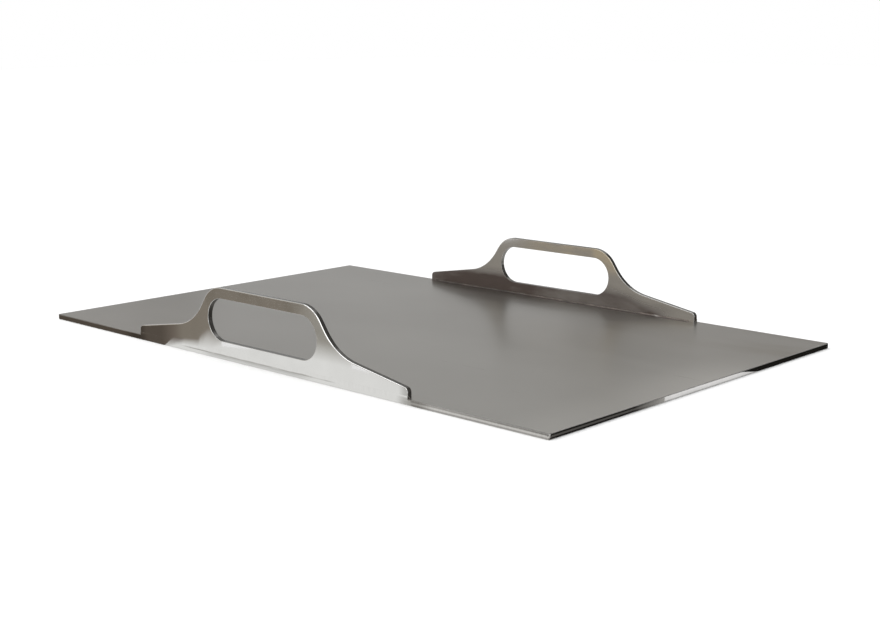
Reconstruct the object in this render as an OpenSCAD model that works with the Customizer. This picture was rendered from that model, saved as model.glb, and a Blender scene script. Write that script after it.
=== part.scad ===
// Camp griddle plate: a flat steel plate with two upright carrying handles,
// each cut from sheet and welded along one long side, flush with the plate's edge.
// Millimetres. The origin is the middle of the plate's underside, +Z is up,
// X runs along the handles and the front handle stands on the -Y side.

/* [Plate] */
// Length of the plate, along the handles
plate_length = 530; // [360:1:800]
// Width of the plate, over the handles' outer faces
plate_width = 325; // [200:1:600]
// Thickness of the plate's sheet
plate_thickness = 4; // [2:0.5:8]
// Radius of the plate's four corners, seen from above
plate_corner_radius = 1.5; // [0.5:0.5:12]

/* [Handles] */
// Length of a handle along its foot
handle_length = 294; // [260:1:340]
// Thickness of the handles' sheet
handle_thickness = 4; // [3:0.5:8]
// Height of a handle's ends, where the shoulder line meets the end
end_height = 7; // [5.5:0.5:9]
// Radius of the ends' top corners
end_corner_radius = 3.5; // [1:0.5:5]
// Rise of the shoulders from the ends towards the grip, in degrees
shoulder_angle = 9.4; // [6:0.1:11]
// Slope of the grip's flanks, in degrees
flank_angle = 55; // [42:1:60]
// Radius of the hollow curve between shoulder and flank
blend_radius = 44; // [10:1:50]

/* [Hand slot] */
// Length of the hand slot
slot_length = 120; // [100:1:130]
// Height of the hand slot
slot_height = 31.5; // [25:0.5:38]
// Height of the rail left under the slot
slot_rail = 9.5; // [6:0.5:14]
// Height of the grip bar over the slot
grip_bar = 8; // [6:0.5:14]

/* [Welds] */
// Bevel on the foot's outer edge, which the outer weld fills flush
outer_bevel = 2; // [1:0.25:2.5]
// Leg of the fillet weld in the inner corner
inner_weld_leg = 1; // [0.5:0.25:4]
// Length of foot left bare at each end of the inner weld
inner_weld_setback = 5; // [1:0.5:20]

/* [Hidden] */

// Smoothness of every arc
$fn = 96;
// How far a cutter runs past the face that it cuts
overrun = 1;
// How far a round stretch reaches past the straight one beside it, so that the two cross cleanly
tangent_overlap = 0.0005;

steel_top = [0.57, 0.57, 0.55];
steel_sheet = [0.66, 0.65, 0.63];
weld_metal = [0.45, 0.42, 0.40];

half_length = handle_length / 2;
handle_height = slot_rail + slot_height + grip_bar;
slot_radius = slot_height / 2;
grip_radius = slot_radius + grip_bar;
// Centre shared by the slot's round end and the grip's round corner
grip_centre = [slot_length / 2 - slot_radius, slot_rail + slot_radius];

// Directions down the flank and down the shoulder, away from the grip
flank_way = [cos(flank_angle), -sin(flank_angle)];
shoulder_way = [cos(shoulder_angle), -sin(shoulder_angle)];
// Where the flank leaves the grip's round corner, just inside it
flank_start = grip_centre + (grip_radius - tangent_overlap) * [sin(flank_angle), cos(flank_angle)];
// Where the flank and the shoulder would meet without the hollow curve
meet_x = (flank_start.y + tan(flank_angle) * flank_start.x
  - end_height - tan(shoulder_angle) * half_length) / (tan(flank_angle) - tan(shoulder_angle));
meet = [meet_x, end_height + tan(shoulder_angle) * (half_length - meet_x)];

// Hollow curve between flank and shoulder
blend_reach = blend_radius * tan((flank_angle - shoulder_angle) / 2);
blend_top = meet - blend_reach * flank_way;
blend_foot = meet + blend_reach * shoulder_way;
blend_centre = blend_top + blend_radius * [sin(flank_angle), cos(flank_angle)];

// Rounded top corner of a handle's end
end_centre = [
  half_length - end_corner_radius,
  end_height + tan(shoulder_angle) * end_corner_radius - end_corner_radius / cos(shoulder_angle)
];
end_top = end_centre + end_corner_radius * [sin(shoulder_angle), cos(shoulder_angle)];

// Straight-sided blank of the handle's right half, from the foot up to the grip
right_half = [
  [half_length, 0],
  [half_length, end_centre.y],
  end_top,
  meet,
  flank_start,
  grip_centre
];
// Filling under the hollow curve, which reaches down into the blank
blend_filling = [
  blend_foot,
  blend_top,
  [blend_top.x, end_height / 2],
  [blend_foot.x, end_height / 2]
];

// A point of the right half, or its image in the left half where side is -1
function on_side(side, point) = [side * point.x, point.y];

// An outline's images in the left half, in reverse order so that they still run anticlockwise
function left_images(points) = [for (i = [len(points) - 1:-1:0]) on_side(-1, points[i])];

// A slot or bar with round ends, its middle line running between the two grip centres
module round_ended(radius) {
  for (side = [-1, 1]) translate(on_side(side, grip_centre)) circle(r = radius);
  translate([-grip_centre.x, grip_centre.y - radius]) square([2 * grip_centre.x, 2 * radius]);
}

// Hollow curve between flank and shoulder
module blend(side) {
  difference() {
    polygon(side > 0 ? blend_filling : left_images(blend_filling));
    translate(on_side(side, blend_centre)) circle(r = blend_radius + tangent_overlap);
  }
}

// Rounded top corner of an end
module end_corner(side) {
  translate(on_side(side, end_centre)) circle(r = end_corner_radius + tangent_overlap);
}

// Room above the foot line, which the handle stays in whatever its radii
module above_foot() {
  translate([-half_length - overrun, 0]) square([handle_length + 2 * overrun, handle_height + overrun]);
}

// Outer shape of a handle, without its slot
module handle_blank() {
  intersection() {
    union() {
      polygon(concat(right_half, left_images(right_half)));
      round_ended(grip_radius);
      for (side = [-1, 1]) blend(side);
      for (side = [-1, 1]) end_corner(side);
    }
    above_foot();
  }
}

// Side view of a handle: X along the plate, Y up from the plate's top face
module handle_profile() {
  difference() {
    handle_blank();
    round_ended(slot_radius);
  }
}

// Stands a shape that is drawn in the XY plane upright on the plate's front edge,
// with its thickness running inwards from the outer face
module on_front_edge(thickness) {
  translate([0, thickness - plate_width / 2, plate_thickness]) rotate([90, 0, 0])
    linear_extrude(height = thickness) children();
}

// A three-sided strip along X with two equal legs, one flat on the plate's top and one upright at corner_y
module seam_strip(length, leg, corner_y) {
  translate([-length / 2, corner_y, plate_thickness]) rotate([90, 0, 90])
    linear_extrude(height = length) polygon([[0, 0], [leg, 0], [0, leg]]);
}

// The rear side is the front side turned half round about the plate's middle
module at_rear() {
  rotate([0, 0, 180]) children();
}

module plate_corners() {
  for (x = [-1, 1], y = [-1, 1])
    translate([x * (plate_length / 2 - plate_corner_radius), y * (plate_width / 2 - plate_corner_radius)])
      circle(r = plate_corner_radius);
}

module griddle_plate() {
  color(steel_top) linear_extrude(height = plate_thickness) union() {
    plate_corners();
    square([plate_length - 2 * plate_corner_radius, plate_width], center = true);
    square([plate_length, plate_width - 2 * plate_corner_radius], center = true);
  }
}

module handle() {
  color(steel_sheet) difference() {
    on_front_edge(handle_thickness) handle_profile();
    seam_strip(handle_length + 2 * overrun, outer_bevel, -plate_width / 2);
  }
}

// Groove weld that fills the foot's bevel and is ground flush with the outer face
module outer_weld() {
  color(weld_metal) seam_strip(handle_length, outer_bevel, -plate_width / 2);
}

// Fillet weld in the corner between the handle's inner face and the plate's top
module inner_weld() {
  color(weld_metal)
    seam_strip(handle_length - 2 * inner_weld_setback, inner_weld_leg, handle_thickness - plate_width / 2);
}

griddle_plate();
handle();  // front_handle
at_rear() handle();  // rear_handle
outer_weld();  // front_outer_weld
at_rear() outer_weld();  // rear_outer_weld
inner_weld();  // front_inner_weld
at_rear() inner_weld();  // rear_inner_weld
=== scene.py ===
# %% [markdown]
# # Camp griddle plate
# A steel plate to cook on over a fire or a burner, with an upright handle welded along each long side.
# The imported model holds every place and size. This lesson dresses it: edges with a small round-over, runs
# of weld, and the finish of rolled, polished, cut and welded steel.

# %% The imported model
import math

import bmesh
import bpy
from mathutils import Matrix, Vector


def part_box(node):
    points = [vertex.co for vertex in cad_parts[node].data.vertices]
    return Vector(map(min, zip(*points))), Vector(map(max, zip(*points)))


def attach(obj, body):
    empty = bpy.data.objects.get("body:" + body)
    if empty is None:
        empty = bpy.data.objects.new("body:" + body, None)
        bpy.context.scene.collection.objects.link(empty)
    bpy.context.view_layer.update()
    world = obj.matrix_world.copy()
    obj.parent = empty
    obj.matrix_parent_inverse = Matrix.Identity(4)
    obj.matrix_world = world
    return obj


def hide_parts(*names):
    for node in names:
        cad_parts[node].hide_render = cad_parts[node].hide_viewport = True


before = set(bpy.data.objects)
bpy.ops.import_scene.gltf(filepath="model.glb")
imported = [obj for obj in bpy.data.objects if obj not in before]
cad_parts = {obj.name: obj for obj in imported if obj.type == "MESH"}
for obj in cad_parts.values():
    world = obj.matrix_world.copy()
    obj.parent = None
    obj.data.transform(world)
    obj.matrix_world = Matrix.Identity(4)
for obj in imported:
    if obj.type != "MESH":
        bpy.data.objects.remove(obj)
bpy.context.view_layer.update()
MM = 0.001
print("nodes:", ", ".join(sorted(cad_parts)))

# %% [markdown]
# ## Camera
# The photograph looks across the plate's near right corner, from a little above the handles. A camera
# could be placed by eye until the outlines agree. Here its place, turn and focal length were solved from
# points on the plate's edges, its corner tips and the handles' outlines, so that the render lies on the
# photograph. The picture is taken to be 880 pixels wide, and the focal length is given in those pixels.
# The outlines agree better if the lens's axis lies right of the picture's middle, as it may in a cropped
# photograph, so the lens is shifted sideways by as much.

# %% Camera
PHOTO_WIDTH = 880
FOCAL_PIXELS = 1444.76
AXIS_RIGHT_PIXELS = 44.43
SENSOR_WIDTH = 36.0
CAMERA_PLACE = Vector((787.47, -787.71, 241.27)) * MM
CAMERA_HEADING = math.radians(42.53)
CAMERA_DIP = math.radians(11.54)
CAMERA_ROLL = math.radians(-0.19)

photo_lens = bpy.data.cameras.new("photo_camera")
photo_lens.sensor_fit = "HORIZONTAL"
photo_lens.sensor_width = SENSOR_WIDTH
photo_lens.lens = FOCAL_PIXELS / PHOTO_WIDTH * SENSOR_WIDTH
photo_lens.shift_x = -AXIS_RIGHT_PIXELS / PHOTO_WIDTH
photo_camera = bpy.data.objects.new("photo_camera", photo_lens)
camera_turn = (
    Matrix.Rotation(CAMERA_HEADING, 4, "Z")
    @ Matrix.Rotation(math.pi / 2 - CAMERA_DIP, 4, "X")
    @ Matrix.Rotation(CAMERA_ROLL, 4, "Z")
)
photo_camera.matrix_world = Matrix.Translation(CAMERA_PLACE) @ camera_turn
bpy.context.collection.objects.link(photo_camera)
bpy.context.scene.camera = photo_camera
bpy.context.scene.view_settings.view_transform = "Standard"
print(f"camera: {photo_lens.lens:.1f} mm lens")

# %% [markdown]
# ## Node maths
# Every finish below is worked out by nodes, and a finish with forty nodes is hard to read as links. A
# small class wraps a socket instead: plus, minus and times on it add Math nodes, and one method adds any
# other node. The same class serves the weld's Geometry Nodes, because both kinds of tree link sockets in
# the same way.

# %% A socket that takes part in Python maths
class Wire:
    """A node's output socket, with operators that add Math nodes."""

    def __init__(self, tree, socket):
        self.tree = tree
        self.socket = socket

    def node(self, kind, settings=None, sockets=None, output=0):
        """Adds a node: its settings first, then the values or links of its sockets."""
        made = self.tree.nodes.new(kind)
        for name, value in (settings or {}).items():
            if name == "stops":
                set_stops(made.color_ramp.elements, value)
            else:
                setattr(made, name, value)
        for name, value in (sockets or {}).items():
            if isinstance(value, Wire):
                self.tree.links.new(value.socket, made.inputs[name])
            else:
                made.inputs[name].default_value = value
        return Wire(self.tree, made.outputs[output])

    def maths(self, operation, *values):
        """Adds a Math node."""
        return self.node("ShaderNodeMath", {"operation": operation}, dict(enumerate(values)))

    def __add__(self, other):
        return self.maths("ADD", self, other)

    __radd__ = __add__

    def __sub__(self, other):
        return self.maths("SUBTRACT", self, other)

    def __rsub__(self, other):
        return self.maths("SUBTRACT", other, self)

    def __mul__(self, other):
        return self.maths("MULTIPLY", self, other)

    __rmul__ = __mul__

    def __truediv__(self, other):
        return self.maths("DIVIDE", self, other)

    def __rtruediv__(self, other):
        return self.maths("DIVIDE", other, self)

    def size(self):
        """The value without its sign."""
        return self.maths("ABSOLUTE", self)

    def ramp(self, low, high):
        """0 where the value is low, 1 where it is high, and smooth between them."""
        ends = {"Value": self, "From Min": low, "From Max": high}
        return self.node("ShaderNodeMapRange", {"interpolation_type": "SMOOTHSTEP"}, ends)

    def band(self, start, full, fading, end):
        """0 up to the start, 1 from full to fading, and 0 again from the end on."""
        return self.ramp(start, full) * self.ramp(end, fading)

    def axis(self, name):
        """The X, Y or Z of a vector."""
        return self.node("ShaderNodeSeparateXYZ", None, {0: self}, name)

    def noise(self, per_metre, detail=2.0, shift=0.0):
        """Noise with so many waves to the metre along each axis, mostly between 0.3 and 0.7."""
        mapping = {"Vector": self, "Location": (shift, shift, shift), "Scale": per_metre}
        spread = self.node("ShaderNodeMapping", None, mapping)
        return self.node("ShaderNodeTexNoise", None, {"Vector": spread, "Scale": 1.0, "Detail": detail})

    def between(self, colour_at_0, colour_at_1):
        """A colour mixed from two by this value."""
        ends = {0: self, 6: colour_at_0, 7: colour_at_1}
        return self.node("ShaderNodeMix", {"data_type": "RGBA"}, ends, 2)

    def along_stops(self, stops):
        """A colour read off a row of stops, each a position and a colour."""
        return self.node("ShaderNodeValToRGB", {"stops": stops}, {"Fac": self})


def set_stops(elements, stops):
    """Gives a colour ramp its stops."""
    while len(elements) < len(stops):
        elements.new(1.0)
    for element, (position, colour) in zip(elements, stops):
        element.position = position
        element.color = colour


# %% [markdown]
# ## Steel finishes
# All six finishes are bare steel, so they share a start: a fully metallic shader whose pattern lies in
# object coordinates, in metres. They differ in how the surface was worked. A picture of brushed steel
# would be quicker, but it repeats and has to be unwrapped, while noise that is stretched along the
# rolling direction runs on over the whole sheet at its true scale. Each finish varies the colour, the
# roughness and a bump together, because one scratch changes all three.

# %% The start of a finish
def steel(name):
    """A metal material: the material, its object coordinates and its shader."""
    material = bpy.data.materials.new(name)
    material.use_nodes = True
    tree = material.node_tree
    shader = tree.nodes["Principled BSDF"]
    shader.inputs["Metallic"].default_value = 1.0
    coordinates = tree.nodes.new("ShaderNodeTexCoord")
    return material, Wire(tree, coordinates.outputs["Object"]), shader


def wear(shader, colour, roughness, height, depth):
    """Feeds a finish to its shader: height from 0 to 1 makes a bump of the given depth in metres."""
    normal = height.node("ShaderNodeBump", None, {"Strength": 1.0, "Distance": depth, "Height": height})
    for name, wire in (("Base Color", colour), ("Roughness", roughness), ("Normal", normal)):
        height.tree.links.new(wire.socket, shader.inputs[name])


def grey(value, warmth=0.0):
    """A steel grey, yellower with more warmth."""
    return (value * (1 + warmth), value, value * (1 - 1.6 * warmth), 1.0)


# %% [markdown]
# Much of what marks this steel happened in one place: heat beside a weld, wear on an arris, smoke where a
# weld ends. These marks could be painted on, but then they would not follow a change of size. So they are
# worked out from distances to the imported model's own boxes. Both handles were welded in the same way, the
# plate turned half round in between, so one finish serves both when the distance along a handle turns
# round with it.

# %% Places on the steel
plate_low, plate_high = (Vector(corner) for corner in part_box("griddle_plate"))
handle_low, handle_high = (Vector(corner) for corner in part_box("front_handle"))


def along_handle(place):
    """Distance along a handle from its middle, towards +X on the rear handle and -X on the front one."""
    side = place.axis("Y")
    return place.axis("X") * side.maths("SIGN", side)


print(f"plate top: {plate_high.z / MM:.1f} mm, handle ends: {handle_high.x / MM:.1f} mm from the middle")

# %% [markdown]
# The cooking surface is rolled sheet with a satin face. Its long faint streaks follow the rolling
# direction, along the plate, and wide soft clouds lie over them where the sheet was pickled. Three noises
# of different stretch make the clouds, the streaks and the grain.

# %% Rolled sheet
satin, place, shader = steel("satin_plate")
clouds = place.noise((6.0, 9.0, 9.0), 3.0)
streaks = place.noise((1.5, 70.0, 70.0), 4.0)
grain = place.noise((14.0, 1500.0, 1500.0))
shade = clouds * 0.7 + streaks * 0.3 + grain * 0.2 - 0.1
rolled_colour = shade.between(grey(0.37, 0.034), grey(0.53, 0.028))
print("rolled sheet:", len(satin.node_tree.nodes), "nodes")

# %% [markdown]
# The sheet's colour changes in three places. It is smeared brown at the rear right corner where a hand has
# held it. Towards the front, and in a pale band along the right edge, it is brighter, a painted reflection.

# %% Painted brighter front, handled corner and painted pale band
FRONT_START = 60 * MM
HANDLED_START = 150 * MM
HANDLED_SIDE = 10 * MM
PAINTED_BAND_WIDTH = 50 * MM
BRIGHT_BAND_STOP = 100 * MM

painted_bright_steel = grey(0.57, 0.028)
# Painted reflection: the colour grows brighter towards the front.
painted_front_light = place.axis("Y").ramp(FRONT_START, plate_low.y) * 0.36
front_colour = painted_front_light.between(rolled_colour, painted_bright_steel)

smears = place.noise((10.0, 26.0, 26.0), 4.0, 0.4).ramp(0.4, 0.6)
handled = place.axis("X").ramp(HANDLED_START, plate_high.x)
handled = handled * place.axis("Y").ramp(HANDLED_SIDE, BRIGHT_BAND_STOP)
smear_and_front_light_colour = (handled * (0.25 + smears * 0.75)).between(front_colour, grey(0.355, 0.058))

# Painted reflection: a pale band along the right edge, towards the front.
painted_edge_band = place.axis("X").ramp(plate_high.x - PAINTED_BAND_WIDTH, plate_high.x)
painted_edge_band = painted_edge_band * place.axis("Y").ramp(BRIGHT_BAND_STOP, 0.0)
smear_and_sheen_colour = painted_edge_band.between(smear_and_front_light_colour, painted_bright_steel)
print("used sheet:", len(satin.node_tree.nodes), "nodes")

# %% [markdown]
# Beside the handles the welding heat has left a narrow patchy band on the plate, straw at its border and
# brown next to the weld. The distance from the handle's inner face runs through a row of colour stops.

# %% Heat on the plate
HEAT_BAND = 9 * MM

weld_distance = -handle_high.y - place.axis("Y").size()
beside_handle = place.axis("X").size().ramp(handle_high.x + HEAT_BAND, handle_high.x - HEAT_BAND)
plate_heat = weld_distance.ramp(HEAT_BAND, 0.0) * beside_handle
heat_stops = [(0.3, grey(0.46, 0.08)), (0.65, (0.40, 0.34, 0.31, 1.0)), (1.0, grey(0.34, 0.04))]
patchy = place.noise((40.0, 40.0, 40.0)).ramp(0.35, 0.65)
shader.inputs["Specular Tint"].default_value = grey(0.72)
wear(
    shader,
    colour=(plate_heat * patchy * 0.5).between(smear_and_sheen_colour, plate_heat.along_stops(heat_stops)),
    roughness=0.24 + streaks * 0.06 + grain * 0.04,
    height=grain * 0.6 + streaks * 0.4,
    depth=0.016 * MM,
)
print("finish:", satin.name, len(satin.node_tree.nodes), "nodes")

# %% [markdown]
# The handles were polished before they were welded on. Their faces mirror the studio, with fine polishing
# lines along the sheet and a slow wave in the sheet itself. Fingers have dulled the outside of the grip
# in patches, and its inside has a straw tint. Along the foot the weld was ground back, and the grinding
# left the lowest few millimetres coarser.

# %% Polished sheet
GROUND_BAND = 7 * MM
GRIP_HEIGHT = 36 * MM
STRAW_START = -50 * MM
STRAW_FULL = 20 * MM

polished, place, shader = steel("polished_handle")
along = along_handle(place)
foot_height = place.axis("Z") - plate_high.z
inner_side = place.axis("Y").size().ramp(-handle_low.y, -handle_high.y)
ground = foot_height.ramp(GROUND_BAND, 0.0)
grip = foot_height.ramp(GRIP_HEIGHT * 0.7, GRIP_HEIGHT)
lines = place.noise((9.0, 1100.0, 1100.0))
slow_wave = place.noise((22.0, 22.0, 22.0))
smudge = place.noise((35.0, 35.0, 35.0), 3.0)
bright_steel = smudge.between(grey(0.62, 0.004), grey(0.74, 0.002))
fingered = place.noise((50.0, 50.0, 50.0), 3.0).ramp(0.42, 0.6) * grip * (1 - inner_side)
used_steel = (fingered * 0.6).between(bright_steel, grey(0.56, 0.012))
straw = place.noise((17.0, 17.0, 45.0), 3.0).ramp(0.3, 0.5) * along.ramp(STRAW_START, STRAW_FULL)
tinted = (straw * grip * inner_side).between(used_steel, (0.95, 0.87, 0.71, 1.0))
print("polished sheet:", len(polished.node_tree.nodes), "nodes")

# %% [markdown]
# The sheet's arrises were broken by hand. The inner ones are painted dark, a painted shade that is deepest
# round the grip, and the outer ones are painted near white, a painted highlight. Outside, both ends carry a
# painted shade. How deep a point lies behind the inner face tells which arris it belongs to.

# %% Arrises and ends of the handles
INNER_ARRIS = [depth * MM for depth in (0.02, 0.2, 0.8, 1.2)]
OUTER_ARRIS = [depth * MM for depth in (2.8, 3.2, 3.8, 3.98)]
ARRIS_PALE = 14 * MM
ARRIS_DARK = 30 * MM
END_SHADE_LENGTH = 9 * MM
END_ROUND = 1 * MM

face_depth = place.axis("Y").size() + handle_high.y
# Painted shade on the inner arrises, darker higher up towards the grip.
painted_arris_shade = foot_height.ramp(ARRIS_PALE, ARRIS_DARK).between(grey(0.3, 0.01), grey(0.1, 0.01))
arris_shaded_colour = (face_depth.band(*INNER_ARRIS) * 0.85).between(tinted, painted_arris_shade)
# Painted highlight: the outer arrises near white.
arris_highlighted_colour = (face_depth.band(*OUTER_ARRIS) * 0.9).between(arris_shaded_colour, grey(0.95))
# Painted shade on the outer face at both ends of a handle.
handle_end_shade = place.axis("X").size().ramp(handle_high.x - END_SHADE_LENGTH, handle_high.x - END_ROUND)
sheet_colour = (handle_end_shade * (1 - inner_side) * 0.6).between(arris_highlighted_colour, grey(0.3, 0.02))
print("arrises and ends:", len(polished.node_tree.nodes), "nodes")

# %% [markdown]
# The inner weld left a brown heat tint along the inner foot. It begins in a spot where the torch was lit,
# builds up along the run, and is weaker again at the last stretch. Its border leans, because the heat
# climbs the sheet while the torch moves on. Heated steel is rougher too, so the same share drives the
# colour and the roughness.

# %% Heat on the handles
HEAT_FULL = 10 * MM
HEAT_CLIMB = 23 * MM
HEAT_LEAN = 2.5
RUN_START = 132 * MM
RUN_WARM = 102 * MM
RUN_HOT = 20 * MM
RUN_END = -80 * MM
COOLER_START = -100 * MM
COOLER_FULL = -150 * MM
TORCH_SPOT = [distance * MM for distance in (85, 112, 112, 135)]
TORCH_FULL = 6 * MM
TORCH_CLIMB = 13 * MM

leaning = along + foot_height * HEAT_LEAN
build_up = leaning.ramp(RUN_START, RUN_WARM) * 0.72 + along.ramp(RUN_HOT, RUN_END) * 0.28
cooler_end = along.ramp(COOLER_START, COOLER_FULL) * 0.25
run_heat = foot_height.ramp(HEAT_CLIMB, HEAT_FULL) * (build_up - cooler_end)
torch_heat = along.band(*TORCH_SPOT) * foot_height.ramp(TORCH_CLIMB, TORCH_FULL) * 0.34
patches = 0.62 + place.noise((24.0, 24.0, 70.0), 4.0)
handle_heat = (run_heat + torch_heat) * inner_side * patches
wear(
    shader,
    colour=handle_heat.between(sheet_colour, (0.13, 0.106, 0.097, 1.0)),
    roughness=0.05 + lines * 0.03 + smudge * 0.03 + ground * 0.03 + handle_heat * 0.5,
    height=lines * 0.1 + slow_wave,
    depth=0.02 * MM,
)
print("finish:", polished.name, len(polished.node_tree.nodes), "nodes")

# %% [markdown]
# A laser cut the sheets out. Its beam leaves fine upright ribs across the thickness of the sheet, on a
# face that shines more than the rolled one. The noise is stretched along Z, so that the ribs stand
# upright on every side. Under a handle the plate's edge was ground together with the weld, and along the
# seam it is painted darker towards its top, a painted shade.

# %% Cut edge of the plate
RIBS_PER_METRE = (900.0, 900.0, 25.0)
RIB_DEPTH = 0.008 * MM
EDGE_BLEND = 0.5 * MM
SEAM_START = -60 * MM
SEAM_END = 75 * MM
SEAM_FADE = 25 * MM

cut_edge, place, shader = steel("cut_edge")
ribs = place.noise(RIBS_PER_METRE)
stain = place.noise((45.0, 45.0, 200.0), 3.0)
cut_colour = (ribs * 0.6 + stain * 0.7 - 0.15).between(grey(0.46, 0.015), grey(0.7, 0.01))

end_distance = place.axis("X").size() - handle_high.x
long_side = place.axis("Y").size().ramp(-handle_high.y, -handle_low.y)
below_top = place.axis("Z").ramp(plate_high.z + EDGE_BLEND, plate_high.z)
under_handle = end_distance.ramp(EDGE_BLEND, -EDGE_BLEND) * long_side * below_top

# Painted shade: under a handle the edge grows darker towards its top, in patches along the seam's run.
seam_shade_run = along_handle(place).band(SEAM_START, SEAM_START + SEAM_FADE, SEAM_END - SEAM_FADE, SEAM_END)
seam_shade_share = place.axis("Z").ramp(plate_low.z, plate_high.z)
seam_shade_colour = seam_shade_share.between(grey(0.62, 0.003), grey(0.4, 0.005))
foot_colour = (seam_shade_run * (0.5 + stain)).between(grey(0.68, 0.003), seam_shade_colour)
clean_colour = under_handle.between(cut_colour, foot_colour)
print("cut edge:", len(cut_edge.node_tree.nodes), "nodes")

# %% [markdown]
# Along the long sides the plate's top arris is painted dark, a painted shade that deepens towards the
# corners, and a painted shade lies round the ends of the handles.

# %% Painted shade on the top arris and round the handle ends
ARRIS = 0.6 * MM
END_SHADE_SPAN = 24 * MM

top_arris = place.axis("Z").ramp(plate_high.z - ARRIS, plate_high.z - ARRIS / 2)
top_arris = top_arris * (1 - under_handle) * below_top
towards_corner = end_distance.ramp(0.0, plate_high.x - handle_high.x)
# Painted shade: the top arris of the long sides darkened, more towards the corners.
arris_shade = top_arris * long_side * (0.64 + towards_corner * 0.26)
dark_arris_colour = arris_shade.between(clean_colour, grey(0.18, 0.02))
# Painted shade on the cut edge round the ends of the handles.
plate_end_shade = end_distance.band(-END_SHADE_SPAN / 2, 0.0, END_SHADE_SPAN / 3, END_SHADE_SPAN) * long_side
wear(
    shader,
    colour=(plate_end_shade * (0.45 + stain * 0.4)).between(dark_arris_colour, grey(0.19, 0.05)),
    roughness=(0.06 + ribs * 0.06 + stain * 0.05) * (1 - under_handle * 0.4) + top_arris * 0.3,
    height=ribs * (1 - under_handle),
    depth=RIB_DEPTH,
)
print("finish:", cut_edge.name, len(cut_edge.node_tree.nodes), "nodes")

# %% [markdown]
# The handles' cut faces were left as the laser made them, under a dark skin of oxide. Only their arrises
# are polished.

# %% Cut faces of the handles
dark_cut, place, shader = steel("dark_cut")
shader.inputs["Specular Tint"].default_value = grey(0.7)
ribs = place.noise(RIBS_PER_METRE)
wear(
    shader,
    colour=ribs.between(grey(0.15, 0.03), grey(0.26, 0.02)),
    roughness=0.12 + ribs * 0.12,
    height=ribs,
    depth=RIB_DEPTH,
)
print("finish:", dark_cut.name, len(dark_cut.node_tree.nodes), "nodes")

# %% [markdown]
# The inner weld is left as it cooled: a dull dark bead whose heat tint wanders from grey to brown, under
# a fine scale. It is darker where the run had grown hot.

# %% Weld bead
weld_bead, place, shader = steel("weld_bead")
tint = place.noise((60.0, 60.0, 60.0), 3.0)
scale = place.noise((700.0, 700.0, 700.0), 3.0)
hotter = along_handle(place).ramp(RUN_HOT, RUN_END) * 0.08
bead_stops = [(0.1, grey(0.06, 0.06)), (0.5, (0.118, 0.1, 0.09, 1.0)), (0.7, grey(0.24, 0.025))]
wear(
    shader,
    colour=(tint - 0.1 - hotter).along_stops(bead_stops),
    roughness=0.22 + scale * 0.2,
    height=scale,
    depth=0.03 * MM,
)
print("finish:", weld_bead.name, len(weld_bead.node_tree.nodes), "nodes")

# %% [markdown]
# The outer weld was ground flush and polished over, so it nearly vanishes in the handle's face. Short
# upright grinding marks and a broken dark line at the plate give it away, and both ends carry a painted
# shade.

# %% Ground weld
SEAM_DEPTH = 0.8 * MM
SEAM_WANDER = 1.2 * MM
SEAM_LINE = [height * MM for height in (-1.0, -0.6, 0.2, 0.6)]
END_SHADE_FULL = 0.2 * MM
END_SHADE_CLIMB = 1.6 * MM

ground_weld, place, shader = steel("ground_weld")
marks = place.noise((500.0, 500.0, 60.0), 3.0)
ground_colour = marks.between(grey(0.64, 0.004), grey(0.72, 0.002))
foot_height = place.axis("Z") - plate_high.z
wander = (place.noise((55.0, 55.0, 0.0), 3.0) - 0.5) * SEAM_WANDER
seam_line = (foot_height + SEAM_DEPTH + wander).band(*SEAM_LINE)
seam_run = along_handle(place).band(SEAM_START - SEAM_FADE, SEAM_START, SEAM_END, SEAM_END + SEAM_FADE)
open_seam = seam_line * seam_run * place.noise((60.0, 60.0, 0.0), 3.0).ramp(0.2, 0.5)
# Painted shade at both ends of the ground weld, just above the plate.
weld_end_shade = (place.axis("X").size() - handle_high.x).ramp(-END_SHADE_SPAN / 2, 0.0)
weld_end_shade = weld_end_shade * foot_height.ramp(END_SHADE_CLIMB, END_SHADE_FULL)
wear(
    shader,
    colour=(open_seam * 0.7 + weld_end_shade * 0.7).between(ground_colour, grey(0.3, 0.03)),
    roughness=0.05 + marks * 0.06,
    height=marks,
    depth=0.002 * MM,
)
print("finish:", ground_weld.name, len(ground_weld.node_tree.nodes), "nodes")

# %% [markdown]
# ## Plate
# The plate is a plain rectangle of 4 mm sheet. It could be a scaled cube, but the edge is what the eye
# reads as sheet metal: tiny corner radii, a cut face and a round-over where the burr was taken off. So
# the outline is drawn as one face, Solidify gives it its thickness and the rim its own finish, and Bevel
# rounds the rim. The evaluated result then becomes plain mesh, which the export needs.

# %% Outlines and thickness
ARC_STEP = 3.0


def arc(centre, radius, first, last):
    """Points along an arc, both ends included. Angles are in degrees, anticlockwise from the first axis."""
    count = max(3, round(abs(last - first) / ARC_STEP))
    angles = [math.radians(first + (last - first) * i / count) for i in range(count + 1)]
    return [(centre[0] + radius * math.cos(a), centre[1] + radius * math.sin(a)) for a in angles]


def flat_piece(name, corners, *finishes):
    """A piece with a single face and the finishes that it may use."""
    mesh = bpy.data.meshes.new(name)
    mesh.from_pydata(corners, [], [range(len(corners))])
    for finish in finishes:
        mesh.materials.append(finish)
    piece = bpy.data.objects.new(name, mesh)
    bpy.context.collection.objects.link(piece)
    return piece


def thicken(piece, thickness):
    """Gives a sheet its thickness behind its face, and the rim the second finish."""
    solidify = piece.modifiers.new("thickness", "SOLIDIFY")
    solidify.thickness = thickness
    solidify.offset = -1.0
    solidify.material_offset_rim = 1


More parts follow.
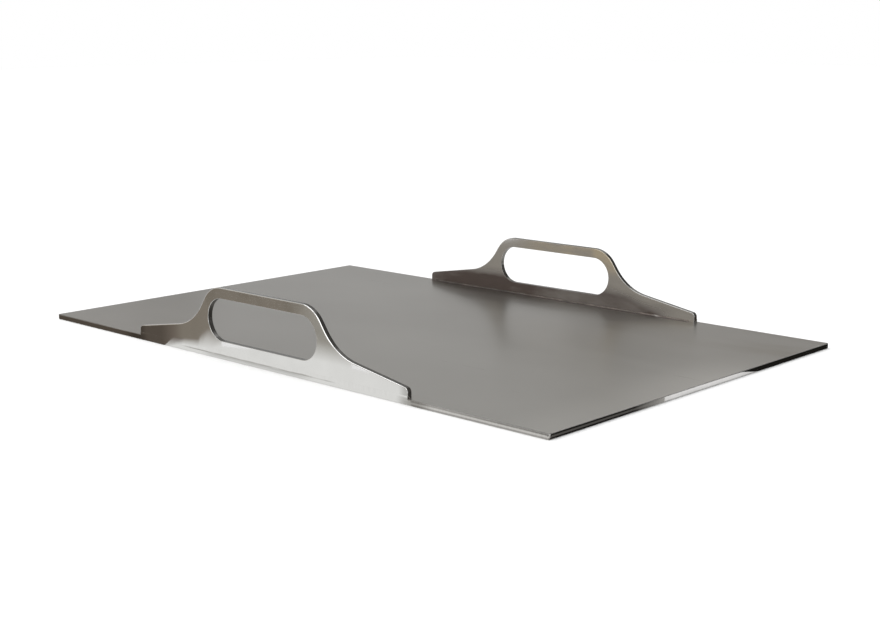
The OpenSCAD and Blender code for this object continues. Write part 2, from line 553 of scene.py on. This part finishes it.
def settle(piece):
    """Turns what the modifiers make into the piece's plain mesh."""
    depsgraph = bpy.context.evaluated_depsgraph_get()
    mesh = bpy.data.meshes.new_from_object(piece.evaluated_get(depsgraph))
    piece.modifiers.clear()
    piece.data = mesh
    mesh.name = piece.name


# %% Round-overs
SHARP_ANGLE = math.radians(50)
CREASE_ANGLE = math.radians(20)
ROUND_SEGMENTS = 4


def round_edges(piece, radius, finish, share=lambda edge: 1.0):
    """Rounds each sharp edge over in one of the piece's finishes, by its share of the radius."""
    shape = bmesh.new()
    shape.from_mesh(piece.data)
    weight = shape.edges.layers.float.new("bevel_weight_edge")
    for edge in shape.edges:
        angle = edge.calc_face_angle()
        rounded = angle > SHARP_ANGLE and share(edge) > 0.0
        edge[weight] = share(edge) if rounded else 0.0
        edge.smooth = rounded or angle < CREASE_ANGLE
    for face in shape.faces:
        face.smooth = True
    shape.to_mesh(piece.data)
    shape.free()
    bevel = piece.modifiers.new("round_over", "BEVEL")
    bevel.limit_method = "WEIGHT"
    bevel.width = radius
    bevel.segments = ROUND_SEGMENTS
    bevel.harden_normals = True
    bevel.material = piece.data.materials.find(finish.name)
    settle(piece)


def report(piece):
    """Prints a finished piece's faces and size."""
    size = [round(side / MM, 1) for side in piece.dimensions]
    print(f"{piece.name}: {len(piece.data.polygons)} faces, {size} mm")


# %% Plate
PLATE_CORNER = 1.5 * MM
PLATE_ROUND = 0.6 * MM

reach_x = plate_high.x - PLATE_CORNER
reach_y = plate_high.y - PLATE_CORNER
corner_centres = [(reach_x, reach_y), (-reach_x, reach_y), (-reach_x, -reach_y), (reach_x, -reach_y)]
plate_outline = [
    (x, y, plate_high.z)
    for turn, centre in enumerate(corner_centres)
    for x, y in arc(centre, PLATE_CORNER, 90 * turn, 90 * turn + 90)
]
plate = flat_piece("satin_griddle_plate", plate_outline, satin, cut_edge)
thicken(plate, plate_high.z - plate_low.z)
settle(plate)
round_edges(plate, PLATE_ROUND, cut_edge)
report(plate)

# %% [markdown]
# ## Handles
# Each handle is cut from the same sheet: low shoulders that rise to steep flanks, a round grip, and a
# slot for four fingers. Both halves are alike, so only the right half is drawn, with half of the slot,
# and Mirror adds the left. The outline runs from the middle of the foot outwards, over the shoulder and
# the grip, and back down round the slot. It could be traced point by point, but lines and arcs that touch
# give cleaner reflections.

# %% Lines and arcs of a handle
END_HEIGHT = 7 * MM
END_RADIUS = 3.5 * MM
SHOULDER_ANGLE = 9.4
FLANK_ANGLE = 55
BLEND_RADIUS = 44 * MM
SLOT_LENGTH = 120 * MM
SLOT_HEIGHT = 31.5 * MM
SLOT_RAIL = 9.5 * MM

handle_end = handle_high.x
handle_top = handle_high.z - plate_high.z
shoulder = math.radians(SHOULDER_ANGLE)
flank = math.radians(FLANK_ANGLE)
slot_radius = SLOT_HEIGHT / 2
grip_centre = Vector((SLOT_LENGTH / 2 - slot_radius, SLOT_RAIL + slot_radius))
grip_radius = handle_top - grip_centre.y
flank_start = grip_centre + grip_radius * Vector((math.sin(flank), math.cos(flank)))
shoulder_at_middle = END_HEIGHT + math.tan(shoulder) * handle_end
flank_at_middle = flank_start.y + math.tan(flank) * flank_start.x
meet_x = (flank_at_middle - shoulder_at_middle) / (math.tan(flank) - math.tan(shoulder))
meet = Vector((meet_x, flank_at_middle - math.tan(flank) * meet_x))
print(f"flank and shoulder meet at {meet.x / MM:.1f} mm, {meet.y / MM:.1f} mm up")

# %% Half of a handle's outline
blend_reach = BLEND_RADIUS * math.tan((flank - shoulder) / 2)
blend_top = meet + blend_reach * Vector((-math.cos(flank), math.sin(flank)))
blend_centre = blend_top + BLEND_RADIUS * Vector((math.sin(flank), math.cos(flank)))
end_centre = (
    handle_end - END_RADIUS,
    END_HEIGHT + END_RADIUS * (math.tan(shoulder) - 1 / math.cos(shoulder)),
)
half_outline = [(0.0, 0.0), (handle_end, 0.0)]
half_outline += arc(end_centre, END_RADIUS, 0, 90 - SHOULDER_ANGLE)
half_outline += arc(blend_centre, BLEND_RADIUS, 270 - SHOULDER_ANGLE, 270 - FLANK_ANGLE)
half_outline += arc(grip_centre, grip_radius, 90 - FLANK_ANGLE, 90)
half_outline += [(0.0, handle_top), (0.0, SLOT_RAIL + SLOT_HEIGHT)]
half_outline += arc(grip_centre, slot_radius, 90, -90)
half_outline += [(0.0, SLOT_RAIL)]
print(f"handle outline: {len(half_outline)} points, {handle_top / MM:.1f} mm high")

# %% [markdown]
# The foot's outer edge is bevelled for the weld, and the foot keeps its sharp edges because it stands on
# the plate. The slot's edges were only deburred, so they get a smaller share of the round-over than the
# rest.

# %% Edges of a handle
SLOT_SHARE = 0.4
FOOT_BEVEL = 2 * MM
TOUCH = 0.01 * MM
slot_low = plate_high.z + SLOT_RAIL


def on_foot(edge):
    """True for an edge that lies on the plate's top."""
    return all(abs(vert.co.z - plate_high.z) < TOUCH for vert in edge.verts)


def on_outer_face(edge):
    """True for an edge of the front handle's outer face."""
    return all(abs(vert.co.y - handle_low.y) < TOUCH for vert in edge.verts)


def in_slot(edge):
    """True for an edge of the hand slot."""
    return all(
        abs(vert.co.x) < SLOT_LENGTH / 2 + TOUCH and -TOUCH < vert.co.z - slot_low < SLOT_HEIGHT + TOUCH
        for vert in edge.verts
    )


def handle_share(edge):
    """The share of the round-over that an edge of the handle gets."""
    if on_foot(edge):
        return 0.0
    return SLOT_SHARE if in_slot(edge) else 1.0


def bevel_foot(piece):
    """Takes the foot's outer edge off at 45 degrees, for the outer weld."""
    shape = bmesh.new()
    shape.from_mesh(piece.data)
    foot = [edge for edge in shape.edges if on_foot(edge) and on_outer_face(edge)]
    bmesh.ops.bevel(shape, geom=foot, offset=FOOT_BEVEL, segments=1, profile=0.5, affect="EDGES")
    shape.to_mesh(piece.data)
    shape.free()
    print(f"{piece.name}: {len(foot)} edges of the foot bevelled")


# %% [markdown]
# The front handle is mirrored, thickened, bevelled and rounded over. The rear handle is the same mesh
# turned half round, so the two can't drift apart.

# %% Front and rear handle
HANDLE_ROUND = 0.6 * MM
HALF_TURN = Matrix.Rotation(math.pi, 4, "Z")

front_outline = [(x, handle_low.y, plate_high.z + z) for x, z in half_outline]
front_handle = flat_piece("polished_front_handle", front_outline, polished, dark_cut)
mirror = front_handle.modifiers.new("left_half", "MIRROR")
mirror.merge_threshold = TOUCH / 10
thicken(front_handle, handle_high.y - handle_low.y)
settle(front_handle)
bevel_foot(front_handle)
round_edges(front_handle, HANDLE_ROUND, polished, handle_share)
report(front_handle)

rear_handle = bpy.data.objects.new("polished_rear_handle", front_handle.data.copy())
rear_handle.data.transform(HALF_TURN)
bpy.context.collection.objects.link(rear_handle)
report(rear_handle)

# %% [markdown]
# ## Welds
# A weld run is one small shape drawn along a path, with ripples where the pool froze, so Geometry Nodes
# suit it: a line, a sector of a circle as its section, and two moves of the points. The first move swells
# the section in ripples and lets its width wander, and the second presses it flat against the handle's
# face where the weld was ground. One tree makes all four runs. The ripples are real shape, so they catch
# the light from any side.

# %% The weld before it has ripples
WELD_SIZES = (
    "Length", "Radius", "First Angle", "Sweep", "Ring Gap",
    "Ripple Pitch", "Ripple Height", "Wander", "Taper", "Flatness", "Face", "Seed",
)
SECTION_POINTS = 12


def weld_inputs(tree):
    """Gives a weld tree its inputs and its output, and returns the inputs by name."""
    for name in WELD_SIZES:
        tree.interface.new_socket(name=name, in_out="INPUT", socket_type="NodeSocketFloat")
    tree.interface.new_socket(name="Root", in_out="INPUT", socket_type="NodeSocketVector")
    tree.interface.new_socket(name="Finish", in_out="INPUT", socket_type="NodeSocketMaterial")
    tree.interface.new_socket(name="Weld", in_out="OUTPUT", socket_type="NodeSocketGeometry")
    inputs = tree.nodes.new("NodeGroupInput")
    return {socket.name: Wire(tree, socket) for socket in inputs.outputs}


def plain_run(given):
    """A sector of a circle drawn along X about the root line, its angles measured from +Y towards +Z."""
    half = given["Length"] * 0.5
    start = half.node("ShaderNodeCombineXYZ", None, {"X": half * -1})
    end = half.node("ShaderNodeCombineXYZ", None, {"X": half})
    line = half.node("GeometryNodeCurvePrimitiveLine", None, {"Start": start, "End": end})
    spacing = {"Curve": line, "Length": given["Ring Gap"]}
    rings = line.node("GeometryNodeResampleCurve", {"mode": "LENGTH"}, spacing)
    path = rings.node("GeometryNodeSetCurveNormal", {"mode": "Z_UP"}, {"Curve": rings})
    sector = {
        "Resolution": SECTION_POINTS,
        "Radius": given["Radius"],
        "Start Angle": given["First Angle"] + math.pi,
        "Sweep Angle": given["Sweep"],
        "Connect Center": True,
    }
    section = path.node("GeometryNodeCurveArc", {"mode": "RADIUS"}, sector)
    sweep = {"Curve": path, "Profile Curve": section, "Fill Caps": True}
    return path.node("GeometryNodeCurveToMesh", None, sweep)


# %% Ripples, and grinding flat
WANDER_WAVES = 90.0
TAPER_RADII = 1.5


def spots(run):
    """X, Y and Z of a run's points."""
    spot = run.node("GeometryNodeInputPosition")
    return [spot.axis(name) for name in "XYZ"]


def moved(run, x, y, z, sockets=None):
    """The run with its points moved."""
    place = x.node("ShaderNodeCombineXYZ", None, {"X": x, "Y": y, "Z": z})
    return run.node("GeometryNodeSetPosition", None, {"Geometry": run, "Position": place} | (sockets or {}))


def rippled(run, given):
    """The run with ripples, bowed back at the toes, and a width that wanders and tapers at both ends."""
    radius = given["Radius"]
    x, y, z = spots(run)
    bow = (z - y) / radius
    wave = (x / given["Ripple Pitch"] + bow * bow * 0.5) * (2 * math.pi)
    ripple = wave.maths("SINE", wave) * given["Ripple Height"]
    seeded = x.node("ShaderNodeCombineXYZ", None, {"X": x, "Y": given["Seed"]})
    wander_noise = {"Vector": seeded, "Scale": WANDER_WAVES, "Detail": 3.0}
    drift = x.node("ShaderNodeTexNoise", {"noise_dimensions": "2D"}, wander_noise)
    end_gap = given["Length"] * 0.5 - x.size()
    taper = 1 - end_gap.ramp(radius * TAPER_RADII, 0.0) * given["Taper"]
    section_shape = 1 + (radius / (y + z) - 1) * given["Flatness"]
    swell = taper * (section_shape + (ripple + (drift - 0.5) * given["Wander"]) / radius)
    return moved(run, x, y * swell, z * swell)


def ground_flat(run, given):
    """The run pressed flat where its section would stand out of the face, and put in place."""
    x, y, z = spots(run)
    return moved(run, x, y.maths("MAXIMUM", y, given["Face"]), z, {"Offset": given["Root"]})


# %% The weld's node tree
def make_weld_tree():
    """The tree that makes a weld along X."""
    tree = bpy.data.node_groups.new("weld_run", "GeometryNodeTree")
    given = weld_inputs(tree)
    run = ground_flat(rippled(plain_run(given), given), given)
    real = run.node("GeometryNodeRealizeInstances", None, {"Geometry": run})
    finished = real.node("GeometryNodeSetMaterial", None, {"Geometry": real, "Material": given["Finish"]})
    result = tree.nodes.new("NodeGroupOutput")
    tree.links.new(finished.socket, result.inputs["Weld"])
    return tree


weld_tree = make_weld_tree()
weld_sockets = {item.name: item.identifier for item in weld_tree.interface.items_tree}
print("weld tree:", len(weld_tree.nodes), "nodes")

# %% [markdown]
# The inner bead is a slim fillet with fine ripples and tapered ends. The outer weld fills the foot's
# bevel and was ground, so its ripples hardly show and its face stands only a few thousandths of a
# millimetre proud. Front and rear runs share their sizes and differ in the seed of their wander.

# %% Sizes of the weld runs
PROUD = 0.005 * MM

inner_low, inner_high = (Vector(corner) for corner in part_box("front_inner_weld"))
outer_low, outer_high = (Vector(corner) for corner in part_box("front_outer_weld"))
inner_run = {
    "Length": inner_high.x - inner_low.x,
    "Radius": inner_high.z - inner_low.z,
    "First Angle": 0.0,
    "Sweep": math.radians(90),
    "Ring Gap": 0.25 * MM,
    "Ripple Pitch": 1.3 * MM,
    "Ripple Height": 0.035 * MM,
    "Wander": 0.8 * MM,
    "Taper": 0.65,
    "Flatness": 1.0,
    "Face": 0.0,
    "Root": (0.0, inner_low.y, inner_low.z),
    "Finish": weld_bead,
}
outer_run = {
    "Length": outer_high.x - outer_low.x,
    "Radius": FOOT_BEVEL * math.sqrt(2),
    "First Angle": math.radians(128),
    "Sweep": math.radians(80),
    "Ring Gap": 1.0 * MM,
    "Ripple Pitch": 3.0 * MM,
    "Ripple Height": 0.02 * MM,
    "Wander": 0.0,
    "Taper": 0.0,
    "Flatness": 0.0,
    "Face": -FOOT_BEVEL - PROUD,
    "Root": (0.0, outer_high.y, outer_low.z),
    "Finish": ground_weld,
}
print(f"runs: {inner_run['Length'] / MM:.0f} mm inside, {outer_run['Length'] / MM:.0f} mm outside")

# %% Four weld runs
def lay_weld(name, values, turned):
    """One weld run as plain mesh, at the front or turned half round to the rear."""
    piece = bpy.data.objects.new(name, bpy.data.meshes.new(name))
    bpy.context.collection.objects.link(piece)
    run = piece.modifiers.new("weld_run", "NODES")
    run.node_group = weld_tree
    for socket, value in values.items():
        run[weld_sockets[socket]] = value
    settle(piece)
    if values["Finish"] == ground_weld:
        piece.data.shade_flat()
    if turned:
        piece.data.transform(HALF_TURN)
    report(piece)
    return piece


front_inner = lay_weld("front_inner_bead", inner_run | {"Seed": 0.3}, turned=False)
rear_inner = lay_weld("rear_inner_bead", inner_run | {"Seed": 0.8}, turned=True)
front_outer = lay_weld("front_ground_weld", outer_run | {"Seed": 0.1}, turned=False)
rear_outer = lay_weld("rear_ground_weld", outer_run | {"Seed": 0.6}, turned=True)

# %% [markdown]
# ## What each piece stands for
# The dressed pieces take the place of the imported nodes, which stay behind them for the collisions.
# Nothing on this object moves, so all of them ride on the one body.

# %% Ride and replace
dressing = (
    (plate, "griddle_plate", "plate_steel"),
    (front_handle, "front_handle", "handle_steel"),
    (rear_handle, "rear_handle", "handle_steel"),
    (front_outer, "front_outer_weld", "weld_steel"),
    (rear_outer, "rear_outer_weld", "weld_steel"),
    (front_inner, "front_inner_weld", "weld_steel"),
    (rear_inner, "rear_inner_weld", "weld_steel"),
)
for piece, node, slot in dressing:
    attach(piece, "root")
    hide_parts(node)
print("dressed nodes:", len(dressing))

# %% [markdown]
# ## Studio
# A pale floor under an even white sky gives the photograph's white ground, and one large soft lamp adds a
# slight direction. The floor lies a little below the plate, because two faces at one height would show
# through each other.

# %% Floor
FLOOR_REACH = 6.0
FLOOR_DROP = 0.2 * MM


def stage_face(name, corners, finish):
    """A flat piece of the studio."""
    piece = flat_piece(name, corners, finish)
    return piece


def upwards(left, right, low, high):
    """A rectangle's corners, its lower side first, so that a fade runs upwards."""
    return [(left, low), (right, low), (right, high), (left, high)]


floor_paint = bpy.data.materials.new("floor_paint")
floor_paint.use_nodes = True
floor_shader = floor_paint.node_tree.nodes["Principled BSDF"]
floor_shader.inputs["Base Color"].default_value = (0.92, 0.92, 0.92, 1.0)
floor_shader.inputs["Roughness"].default_value = 1.0
floor_shader.inputs["Specular IOR Level"].default_value = 0.0
floor_square = upwards(-FLOOR_REACH, FLOOR_REACH, -FLOOR_REACH, FLOOR_REACH)
floor = stage_face("studio_floor", [(*corner, -FLOOR_DROP) for corner in floor_square], floor_paint)
print(f"{floor.name}: {floor.dimensions.x:.0f} m by {floor.dimensions.y:.0f} m")

# %% Sky and lamp
LAMP_SOFTNESS = math.radians(50)
LAMP_TURN = (math.radians(25), math.radians(-30), 0.0)

sky = bpy.data.worlds.new("white_sky")
sky.use_nodes = True
sky.node_tree.nodes["Background"].inputs["Color"].default_value = (1.0, 1.0, 1.0, 1.0)
bpy.context.scene.world = sky

lamp_data = bpy.data.lights.new("soft_lamp", "SUN")
lamp_data.energy = 1.0
lamp_data.angle = LAMP_SOFTNESS
lamp = bpy.data.objects.new("soft_lamp", lamp_data)
lamp.rotation_euler = LAMP_TURN
bpy.context.collection.objects.link(lamp)
print("lights:", sky.name, lamp.name)

# %% [markdown]
# Steel has hardly any colour of its own: it shows the room. In an all-white room it would be white too,
# so, as in a real studio for metal, plain cards stand and lie around the object out of the camera's
# sight. They neither shade nor light anything. Steel alone mirrors them. Each card has one colour or a
# fade between two.

# %% Cards that only the steel sees
cards = []


def card(name, corners, colour, far_colour=None):
    """A card that shows in reflections alone. It may fade from its first two corners to its others."""
    paint = bpy.data.materials.new(name)
    paint.use_nodes = True
    nodes = paint.node_tree.nodes
    nodes.clear()
    painted = nodes.new("ShaderNodeVertexColor")
    painted.layer_name = "paint"
    glow = nodes.new("ShaderNodeEmission")
    output = nodes.new("ShaderNodeOutputMaterial")
    paint.node_tree.links.new(painted.outputs["Color"], glow.inputs["Color"])
    paint.node_tree.links.new(glow.outputs[0], output.inputs["Surface"])
    piece = stage_face(name, corners, paint)
    layer = piece.data.color_attributes.new("paint", "FLOAT_COLOR", "POINT")
    for index, point in enumerate(layer.data):
        point.color = (*(colour if index < 2 else far_colour or colour), 1.0)
    piece.visible_camera = False
    piece.visible_diffuse = False
    piece.visible_shadow = False
    piece.visible_transmission = False
    cards.append(piece)


# %% [markdown]
# The near handle's outer face mirrors the floor in front of it. In the photograph it is dark brown on the
# left, tan on the right and white along the foot, so mats of these colours lie on the floor, with fades
# between them. Guessing their places would take many tries. It is easier to say where on the handle a mat
# should show, and to mirror the camera's sight there down to the floor. The rear handle gets the same
# mats, turned half round.

# %% Where mats lie
MAT_DROP = 0.1 * MM


def mirrored(spot, axis):
    """The spot on the floor that the camera sees mirrored in a spot of a face square to the axis."""
    sight = spot - CAMERA_PLACE
    sight[axis] *= -1
    return spot + sight * (spot.z / -sight.z)


def mat(name, face_corners, colour, far_colour=None):
    """A mat on the floor, given by where the front handle mirrors it, and another for the rear handle.

    The corners are in millimetres on the handle's face, from the middle of its foot."""
    face = [Vector((x * MM, handle_low.y, plate_high.z + z * MM)) for x, z in face_corners]
    for sign, end in ((1, "front"), (-1, "rear")):
        spots_below = [sign * mirrored(spot, 1) for spot in face]
        card(f"{name}_{end}", [(spot.x, spot.y, -MAT_DROP) for spot in spots_below], colour, far_colour)


# %% Dark, brown and tan mats
FACE_LOW = -6
FACE_TOP = 62
DARK_LEFT = -320
DARK_RIGHT = -119
DIM_RIGHT = -104
BROWN_LEFT = -92
BROWN_RIGHT = 30
TAN_LEFT = 62
TAN_RIGHT = 95
TAN_LOW = 26

dark_brown = (0.12, 0.099, 0.08)
dim_brown = (0.19, 0.158, 0.13)
brown = (0.272, 0.24, 0.198)
tan = (0.395, 0.377, 0.333)

# Where the white along the foot ends and where the brown above it begins, from left to right
white_border = [(DARK_RIGHT, FACE_LOW), (BROWN_LEFT, 0.4), (-73, 1.6), (-68, 1.7), (-58, 2.2), (-45, 6)]
brown_border = [(DIM_RIGHT, 4), (BROWN_LEFT, 5), (-73, 7), (-68, 12.5), (-58, 18), (-45, 17)]
brown_corner = (BROWN_RIGHT, 30)
dark_fade = [white_border[0], (DARK_RIGHT, FACE_TOP), (DIM_RIGHT, FACE_TOP), brown_border[0]]
brown_fade = [brown_border[0], (DIM_RIGHT, FACE_TOP), (BROWN_LEFT, FACE_TOP), brown_border[1]]
brown_mat = brown_border[1:] + [brown_corner, (BROWN_RIGHT, FACE_TOP), (BROWN_LEFT, FACE_TOP)]
grip_fade = [brown_corner, (BROWN_RIGHT, FACE_TOP), (TAN_LEFT, FACE_TOP), (TAN_LEFT, TAN_LOW)]

mat("dark_mat", upwards(DARK_LEFT, DARK_RIGHT, FACE_LOW, FACE_TOP), dark_brown)
mat("dark_fade", dark_fade, dark_brown, dim_brown)
mat("brown_fade", brown_fade, dim_brown, brown)
mat("brown_mat", brown_mat, brown)
mat("grip_fade", grip_fade, brown, tan)
mat("tan_mat", upwards(TAN_LEFT, TAN_RIGHT, TAN_LOW, FACE_TOP), tan)
print("dark, brown and tan mats:", len(cards))

# %% White mats and their fades
WHITE_TOP = 12
EDGE_LEFT = 150
EDGE_RIGHT = 290
EDGE_TOP = 1

white = (0.97, 0.97, 0.945)
for i, name in enumerate(("heel_fade", "foot_fade", "post_fade", "left_fade", "slot_fade")):
    fade_corners = [white_border[i], white_border[i + 1], brown_border[i + 1], brown_border[i]]
    mat(name, fade_corners, white, brown if i > 0 else dim_brown)
mat("right_fade", upwards(BROWN_RIGHT, TAN_RIGHT, WHITE_TOP, TAN_LOW), white, tan)
white_right = [
    (EDGE_LEFT, FACE_LOW),
    (EDGE_LEFT, EDGE_TOP),
    (EDGE_RIGHT, EDGE_TOP),
    (EDGE_RIGHT, WHITE_TOP),
    (BROWN_RIGHT, WHITE_TOP),
]
mat("white_mat", white_border[:1] + white_right + white_border[:0:-1], white)
print("mats with the white ones:", len(cards))

# %% [markdown]
# To the right of the handle the plate's own front edge mirrors the floor, in three lines: grey at the
# bottom, a bright one in the middle, and a grey one at the top that darkens towards the corner.

# %% Mats for the front edge
BRIGHT_LOW = -2.6
BRIGHT_HIGH = -1.4

pale = (0.92, 0.91, 0.885)
edge_grey = (0.56, 0.55, 0.53)
edge_dark = (0.24, 0.234, 0.222)


def sideways(left, right, low, high):
    """A rectangle's corners, its left side first, so that a fade runs to the right."""
    return [(left, low), (left, high), (right, high), (right, low)]


mat("low_edge_mat", upwards(EDGE_LEFT, EDGE_RIGHT, FACE_LOW, BRIGHT_LOW), edge_grey)
mat("edge_mat", upwards(EDGE_LEFT, EDGE_RIGHT, BRIGHT_LOW, BRIGHT_HIGH), pale)
mat("top_edge_fade", sideways(EDGE_LEFT, EDGE_RIGHT, BRIGHT_HIGH, EDGE_TOP), edge_grey, edge_dark)
print("mats with those for the front edge:", len(cards))

# %% [markdown]
# The plate's right edge is dark near the front corner, with a grey line along its middle, then fades to
# white, and is dark again at the rear. Strips on the floor do this in the same way as the mats. They lie
# a little higher than the mats, because cards at one height would show through each other.

# %% Strips for the right edge
STRIP_DROP = 0.05 * MM
STRIP_LOW = -0.1
STRIP_TOP = 30
LINE_LOW = 1.4
LINE_HIGH = 2.6
DARK_START = -166
DARK_STOP = -80
FADE_STOP = -47
FAR_FOOT = 65
FAR_TOP = 16
FAR_SLANT = 8
FAR_END = 200

black = (0.015, 0.014, 0.012)
grey_strip = (0.13, 0.126, 0.118)
pale_strip = (0.5, 0.49, 0.47)


def strip(name, edge_corners, colour, far_colour=None):
    """A mat on the floor, given by where the plate's right edge mirrors it.

    The corners are millimetres along the edge and up from the underside."""
    spots_below = [mirrored(Vector((plate_high.x, y * MM, z * MM)), 0) for y, z in edge_corners]
    card(name, [(spot.x, spot.y, -STRIP_DROP) for spot in spots_below], colour, far_colour)


strip_rows = (
    ("over", LINE_HIGH, STRIP_TOP, black),
    ("middle", LINE_LOW, LINE_HIGH, grey_strip),
    ("under", STRIP_LOW, LINE_LOW, black),
)
for name, low, high, colour in strip_rows:
    strip(f"{name}_strip", sideways(DARK_START, DARK_STOP, low, high), colour)
    strip(f"{name}_fade", sideways(DARK_STOP, FADE_STOP, low, high), colour, pale_strip)
far_corners = [
    (FAR_FOOT, STRIP_LOW),
    (FAR_END, STRIP_LOW),
    (FAR_END, STRIP_TOP),
    (FAR_TOP, STRIP_TOP),
    (FAR_TOP, FAR_SLANT),
]
strip("far_strip", far_corners, black)
print("cards with the strips:", len(cards))

# %% [markdown]
# The satin plate mirrors what stands behind it on the left, only blurred, and grey screens there give it
# its soft shading. The round-over of its right edge mirrors the right side, where dark flags stand and
# one lies on the floor. A tan wall tints the rear handle's inner face, a bright card lights the rims of
# the handles, and a softbox behind the camera brightens the corners that face it. A band of grey walls
# stands behind them all, so that the steel mirrors grey in other low views too, and not the bare white
# sky.

# %% Flags, screens and softbox
FLAG_DROP = 0.15 * MM

dark_flag = (0.16, 0.155, 0.145)


def wall(name, start, end, low, high, colour):
    """An upright card between two spots on the floor, in metres."""
    card(name, [(*start, low), (*end, low), (*end, high), (*start, high)], colour)


wall("low_flag", (0.45, 0.9), (2.0, 0.9), 0.0, 0.4, dark_flag)
wall("high_flag", (-0.03, 0.9), (2.0, 0.9), 0.4, 1.5, dark_flag)
wall("tan_wall", (-1.5, -0.2), (-0.2, -1.5), 0.0, 0.7, (0.55, 0.50, 0.43))
wall("right_screen", (-1.02, 1.44), (-0.25, 1.72), 0.2, 0.55, (0.44, 0.423, 0.407))
wall("pale_screen", (-1.35, 1.12), (-0.75, 1.58), 0.46, 1.1, (0.54, 0.54, 0.525))
wall("left_screen", (-1.76, 0.0), (-1.5, 0.9), 0.15, 0.75, (0.56, 0.55, 0.535))
wall("rim_light", (-0.6, 1.2), (-0.15, 1.2), 0.5, 1.2, (0.95, 0.95, 0.92))
wall("horizon_screen", (-1.6, 0.8), (-1.0, 1.5), 0.0, 0.22, (0.45, 0.445, 0.43))

flag_corners = [(*corner, -FLAG_DROP) for corner in upwards(0.32, 2.0, -0.1, 0.9)]
card("floor_flag", flag_corners, dark_flag)
softbox_corners = [(0.2, -1.4, 0.75), (1.4, -0.75, 0.75), (1.2, -0.45, 1.8), (0.1, -1.1, 1.8)]
card("softbox", softbox_corners, (2.6, 2.6, 2.55))
print("cards with flags, screens and softbox:", len(cards))

# %% Grey band round everything
BAND_RADIUS = 1.8
BAND_LOW = 0.42
BAND_HIGH = 2.4
BAND_SIDES = 24

band_grey = (0.475, 0.475, 0.465)
band_angles = [2 * math.pi * i / BAND_SIDES for i in range(BAND_SIDES + 1)]
band_spots = [(BAND_RADIUS * math.cos(angle), BAND_RADIUS * math.sin(angle)) for angle in band_angles]
for side in range(BAND_SIDES):
    wall(f"grey_band_{side}", band_spots[side], band_spots[side + 1], BAND_LOW, BAND_HIGH, band_grey)
print("cards in all:", len(cards))
